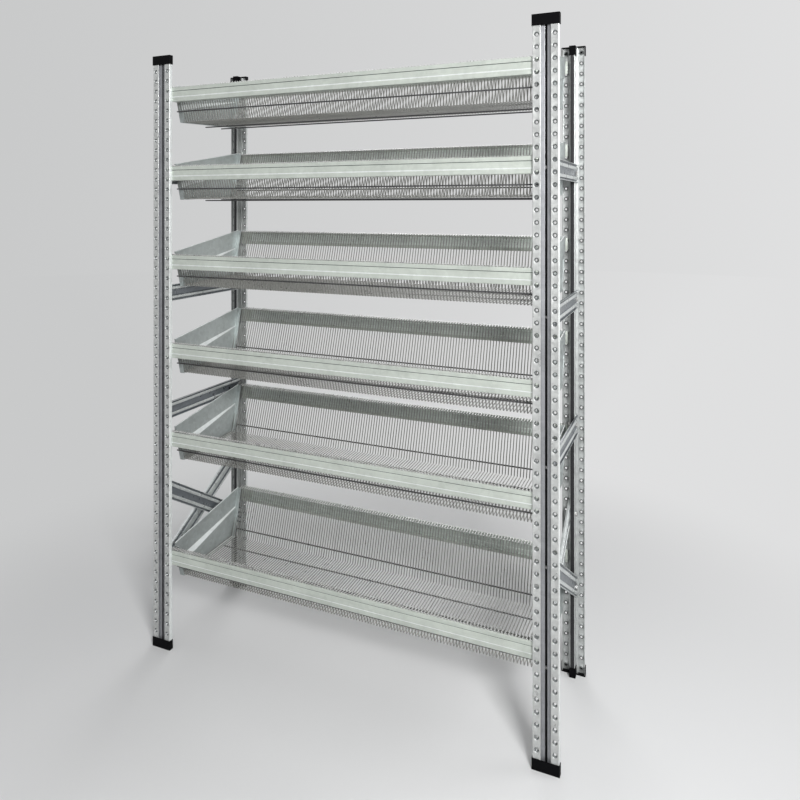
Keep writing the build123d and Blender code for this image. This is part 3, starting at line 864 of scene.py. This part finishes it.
def beam_master():
    """A beam with its top at z = 0, behind a frame face at y = 0."""
    channel = fold_sheet(
        "channel",
        [((-BEAM_HALF, y * MM, z * MM), (BEAM_HALF, y * MM, z * MM)) for y, z in BEAM_SECTION],
    )
    press(channel, SKIN, radius=0.9 * MM, angle=12, skins=BEAM_FINISHES)
    # The inner skin gets a tone of its own, painted light.
    mark_inside(channel, Vector((0, -1, 0)))
    # Painted shade on the upper step and a painted highlight on the lower one.
    for face in channel.data.polygons:
        for index, (low, high) in BEAM_STEPS.items():
            in_step = low * MM < face.center.z < high * MM and face.center.y < BEAM_FACE_DEPTH
            if in_step and face.material_index == 0:
                face.material_index = index
    brackets = []
    for side in (-1, 1):
        ends = [(side * x, BRACKET_DEPTH) for x in (BRACKET_START, BRACKET_END)]
        lines = [[(x, y, z * MM) for x, y in ends] for z in BRACKET_EDGES]
        bracket = fold_sheet("bracket", lines)
        press(bracket, BRACKET_SHEET, skins=BEAM_FINISHES[:1])
        apply_modifier(bracket, "BEVEL", width=0.5 * MM, segments=2)
        brackets.append(bracket)
        for drop in STUD_DROPS:
            deselect()
            bpy.ops.mesh.primitive_cylinder_add(
                vertices=16,
                radius=STUD_RADIUS,
                depth=12 * MM,
                location=(side * (POST_X - HOLE_COLUMN), 7 * MM, -drop * MM),
                rotation=(math.radians(90), 0, 0),
            )
            stud = bpy.context.active_object
            stud.data.materials.append(BEAM_FINISHES[0])
            settle(stud)
            apply_modifier(stud, "BEVEL", width=0.8 * MM, segments=2, limit_method="ANGLE")
            brackets.append(stud)
    beam = join("beam_master", channel, *brackets)
    smooth(beam)
    return beam


beam_shape = beam_master()
for number, top in SHELF_TOPS.items():
    front = copy_to(beam_shape, f"front_beam_sheet_{number}", Matrix.Translation((0, -FACE_Y, top)))
    finish_piece(front, "frame", f"front_beam_{number}", "beam_steel", *BEAM_FINISHES)
    placement = Matrix.Translation((0, FACE_Y, top + REAR_LIFT)) @ HALF_TURN
    rear = copy_to(beam_shape, f"rear_beam_sheet_{number}", placement)
    finish_piece(rear, "frame", f"rear_beam_{number}", "beam_steel", *BEAM_FINISHES)
print("beam faces", len(beam_shape.data.polygons))
discard(beam_shape)

# %% [markdown]
# The braces are roll-formed strips with two ridges and two turned edges. Each one is
# folded in the same way, with the fold lines running from the front upright to the
# rear one, level or sloping.

# %% Braces
BRACE_END = 201 * MM
STEM_SIDE = 7.5 * MM
BRACE_SECTION = [(7.6, -26.3), (0.75, -26.3), (0.75, -21), (5.3, -19), (5.3, -11.5), (0.75, -9.5)]
BRACE_SECTION += [(x, -across) for x, across in reversed(BRACE_SECTION)]
LEVELS = {"lower": 24, "middle": 36, "upper": 48}
BRACE_BOLT = 19 * MM
BRACE_SHEET = 1.4 * MM
BRACE_FOLD = 1.3 * MM
RIDGE_OUT, VALLEY_IN = 4.3 * MM, 2 * MM


def brace(name, front_step, rear_step, side, middle):
    """A ribbed strip between two heights, given in holes above the floor."""
    bolt_run = 2 * (FACE_Y - BRACE_BOLT)
    slope = (rear_step - front_step) * HOLE_PITCH / bolt_run
    centre = (front_step + rear_step) / 2 * HOLE_PITCH
    stretch = math.hypot(1, slope)
    lines = []
    for x, across in BRACE_SECTION:
        side_x = middle + side * (STEM_SIDE + x * MM)
        heights = [centre + end * slope * BRACE_END + across * MM * stretch for end in (-1, 1)]
        lines.append(((side_x, -BRACE_END, heights[0]), (side_x, BRACE_END, heights[1])))
    strip = fold_sheet(name, lines)
    press(strip, BRACE_SHEET, radius=BRACE_FOLD, angle=15)
    # Proud faces keep the bright zinc, and the valleys get painted shade.
    for face in strip.data.polygons:
        out = abs(face.center.x - middle) - STEM_SIDE
        proud = out > RIDGE_OUT if face.normal.x * side > 0 else out < VALLEY_IN
        face.material_index = 0 if proud else 1
    smooth(strip)
    return strip


BRACE_FINISHES = [finishes["brace_zinc"], finishes["brace_valley_painted_shade"]]
for side_name, middle in (("left", -POST_X), ("right", POST_X)):
    strips = {f"{level}_brace": (step, step, 1) for level, step in LEVELS.items()}
    strips["rising_brace"] = (8, 15.5, -1)
    strips["falling_brace"] = (16, 8.5, 1)
    for kind, (front_step, rear_step, side) in strips.items():
        strip = brace(f"{kind}_sheet_{side_name}", front_step, rear_step, side, middle)
        finish_piece(strip, "frame", f"{kind}_{side_name}", "brace_steel", *BRACE_FINISHES)
    print(side_name, "side braces", sorted(strips))

# %% [markdown]
# A basket is one welded mesh. Its cross wires are all alike: each curls over the front
# beam, drops down the front, crosses the floor, climbs the back and curls over the
# rear beam. One wire is drawn as a chain of edges, given a round section as a curve,
# and arrayed along the bay. Four straight long wires, which are darker, are then laid
# under it, and the upward faces of the curled ends get a painted highlight.

# %% Basket mesh
WIRE = 3.2 * MM
WIRE_COUNT = 128
WIRE_PITCH = 9.46 * MM
LONG_WIRE = 4.4 * MM
LONG_WIRE_LENGTH = 1212 * MM
ROD_FACE = 600 * MM * MM
WELD_SINK = 0.74
REST = 1.9
BASKET_LINE = [(14, REST), (38, REST), (64, -112), (340, -101), (382, 64 + REST), (406, 64 + REST)]
BEND_RADII = [5, 8, 8, 5]
LONG_WIRES = [(1, -72), (2, 196), (2, 282), (3, -71)]


def rounded(points, radii, steps):
    """A line of (y, z) points with an arc at each bend."""
    line = [Vector(points[0])]
    for before, corner, after, radius in zip(points, points[1:], points[2:], radii):
        corner = Vector(corner)
        back = (Vector(before) - corner).normalized()
        forth = (Vector(after) - corner).normalized()
        half_angle = back.angle(forth) / 2
        reach = radius / math.tan(half_angle)
        centre = corner + (back + forth).normalized() * radius / math.sin(half_angle)
        start = corner + back * reach - centre
        end = corner + forth * reach - centre
        for step in range(steps + 1):
            line.append(centre + start.slerp(end, step / steps))
    line.append(Vector(points[-1]))
    return line


def wire_master():
    """One cross wire in the plane x = 0, with the front beam top at z = 0."""
    deselect()
    bpy.ops.mesh.primitive_plane_add(size=0.1)
    wire = bpy.context.active_object
    bpy.ops.object.mode_set(mode="EDIT")
    bpy.ops.mesh.merge(type="CENTER")
    path = rounded(BASKET_LINE, BEND_RADII, 3)
    mesh = bmesh.from_edit_mesh(wire.data)
    spots = [Vector((0, y * MM - FACE_Y, z * MM)) for y, z in path]
    mesh.verts.ensure_lookup_table()
    mesh.verts[0].co = spots[0]
    for here, there in zip(spots, spots[1:]):
        bpy.ops.mesh.extrude_region_move(TRANSFORM_OT_translate={"value": there - here})
    bpy.ops.object.mode_set(mode="OBJECT")
    bpy.ops.object.convert(target="CURVE")
    wire = bpy.context.active_object
    wire.data.bevel_depth = WIRE / 2
    wire.data.bevel_resolution = 1
    wire.data.use_fill_caps = True
    bpy.ops.object.convert(target="MESH")
    return bpy.context.active_object


def long_wire(stretch, value):
    """A straight wire along the bay, under one stretch of the cross wires."""
    corners = [Vector(point) for point in BASKET_LINE]
    start, end = corners[stretch], corners[stretch + 1]
    axis = 0 if stretch == 2 else 1
    share = (value - start[axis]) / (end[axis] - start[axis])
    along = (end - start).normalized()
    outside = Vector((along.y, -along.x)) * (WIRE + LONG_WIRE) / 2 / MM * WELD_SINK
    spot = start.lerp(end, share) + outside
    deselect()
    bpy.ops.mesh.primitive_cylinder_add(
        vertices=10,
        radius=LONG_WIRE / 2,
        depth=LONG_WIRE_LENGTH,
        location=(0, spot.x * MM - FACE_Y, spot.y * MM),
        rotation=(0, math.radians(90), 0),
    )
    rod = bpy.context.active_object
    settle(rod)
    limit = {"limit_method": "ANGLE", "angle_limit": math.radians(60)}
    apply_modifier(rod, "BEVEL", width=0.6 * MM, segments=2, **limit)
    return rod


print("cross wires in a basket", WIRE_COUNT, "at", WIRE_PITCH / MM, "mm")

# %% [markdown]
# The wires of one basket are arrayed and joined with its long wires, and six copies are
# hung at the heights of the beams, each on its own body.

# %% Baskets


def basket_master():
    """The mesh of one basket, with the front beam top at z = 0."""
    wires = wire_master()
    wires.location.x = -WIRE_PITCH * (WIRE_COUNT - 1) / 2
    settle(wires)
    repeat(wires, WIRE_COUNT, (WIRE_PITCH, 0, 0))
    rods = [long_wire(stretch, value) for stretch, value in LONG_WIRES]
    basket = join("basket_master", wires, *rods)
    merge_and_turn_out(basket, HAIR)
    # Long wires get the dark finish, and upward faces on the curled ends a painted highlight.
    for face in basket.data.polygons:
        x, y, z = face.center
        on_lip = z > 0 if y < 0 else z > REAR_LIFT
        if face.area > ROD_FACE:
            face.material_index = 2
        else:
            face.material_index = 1 if on_lip and face.normal.z > 0 else 0
    smooth(basket, 45)
    return basket


WIRE_FINISHES = [finishes[name] for name in ("wire_zinc", "wire_tops_painted_highlight", "wire_dark")]
basket_shape = basket_master()
for number, top in SHELF_TOPS.items():
    mesh_piece = copy_to(basket_shape, f"basket_wires_{number}", Matrix.Translation((0, 0, top)))
    finish_piece(mesh_piece, f"basket_{number}", f"basket_{number}_mesh", "wire", *WIRE_FINISHES)
print("basket faces", len(basket_shape.data.polygons))
discard(basket_shape)

# %% [markdown]
# The basket's ends are closed by pressed sheets. Each has an upper plate with a hemmed
# top, a ledge that tapers from front to back, and a lower plate that starts further in
# and leans out to its foot. Flanges turn in along the foot and behind the wires in
# front and at the back. The ledge and the other faces that look up are given a painted
# highlight, and the ledge is the brightest line in the basket.

# %% End panels
PANEL_X = 606.25
PANEL_TOP = (9.3, 68.3)
PANEL_HEM = (5.3, 64.3)
PANEL_FOLD = (-52, 2)
PANEL_STEP = (-67, -1)
PANEL_FOOT = (-107.3, -96.3)
STEP_INSETS = (15, 3)
HEM_INSET = 3
FOOT_INSET = 2
FLANGE = 16
FLANGE_TOP = (-1, 66)
SHEET_EDGE = 0.7
PANEL_SHEET = 1.4 * MM
WIRE_GAP = 3.5
LEDGE_TILT = 0.35


def panel_edge(height, front):
    """Where the sheet stops short of the front or the rear wires, in millimetres."""
    low, high = (BASKET_LINE[2], BASKET_LINE[1]) if front else (BASKET_LINE[3], BASKET_LINE[4])
    share = (height - low[1]) / (high[1] - low[1])
    gap = WIRE_GAP if front else -WIRE_GAP
    return low[0] + share * (high[0] - low[0]) + gap - FACE_Y / MM


def panel_line(insets, heights):
    """A fold line across the panel, from its front edge to its rear edge."""
    ends = []
    for inset, height, front in zip(insets, heights, (True, False)):
        ends.append(((PANEL_X - inset) * MM, panel_edge(height, front) * MM, height * MM))
    return ends


def flange_line(inset, height, front):
    """A line across the flange along the front or the rear wires."""
    spots = [PANEL_X + SHEET_EDGE - inset, PANEL_X - inset - FLANGE]
    return [(x * MM, panel_edge(height, front) * MM, height * MM) for x in spots]


def panel_master(side):
    """A basket end on one side, with the front beam top at z = 0."""
    plates = [
        panel_line((HEM_INSET, HEM_INSET), PANEL_HEM),
        panel_line((HEM_INSET, HEM_INSET), PANEL_TOP),
        panel_line((0, 0), PANEL_TOP),
        panel_line((0, 0), PANEL_FOLD),
        panel_line(STEP_INSETS, PANEL_STEP),
        panel_line((FOOT_INSET, FOOT_INSET), PANEL_FOOT),
        panel_line((FOOT_INSET + FLANGE, FOOT_INSET + FLANGE), PANEL_FOOT),
    ]
    sheets = [plates]
    for end, front in enumerate((True, False)):
        foot = flange_line(FOOT_INSET, PANEL_FOOT[end], front)
        sheets.append([flange_line(0, FLANGE_TOP[end], front), foot])
    folded = []
    for lines in sheets:
        turned = [tuple((side * x, y, z) for x, y, z in line) for line in lines]
        sheet = fold_sheet("panel_sheet", turned)
        press(sheet, PANEL_SHEET, radius=PANEL_SHEET if lines is plates else 0)
        folded.append(sheet)
    panel = join("panel_master", *folded)
    # Faces that look upwards get a painted highlight.
    for face in panel.data.polygons:
        face.material_index = 1 if face.normal.z > LEDGE_TILT else 0
    smooth(panel)
    return panel


PANEL_FINISHES = [finishes["panel_zinc"], finishes["edge_painted_highlight"]]
for side_name, side in (("left", -1), ("right", 1)):
    panel_shape = panel_master(side)
    for number, top in SHELF_TOPS.items():
        node = f"basket_{number}_{side_name}_panel"
        placement = Matrix.Translation((0, 0, top))
        panel = copy_to(panel_shape, f"basket_end_{side_name}_{number}", placement)
        finish_piece(panel, f"basket_{number}", node, "panel_steel", *PANEL_FINISHES)
    print(side_name, "basket end faces", len(panel_shape.data.polygons))
    discard(panel_shape)

# %% [markdown]
# Caps and bolts already have their true shape in the construction model. They stay as
# they are and only take their finish.

# %% Caps and bolts
refinished = []
for name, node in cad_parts.items():
    if "cap_" in name:
        finish = cap_plastic
    elif name.startswith("brace_bolts"):
        finish = finishes["bolt_zinc"]
    else:
        continue
    for slot in node.material_slots:
        slot.material = finish
    refinished.append(name)
print("refinished", refinished)

# %% [markdown]
# Last, nothing is left selected.

# %% Finish
deselect()
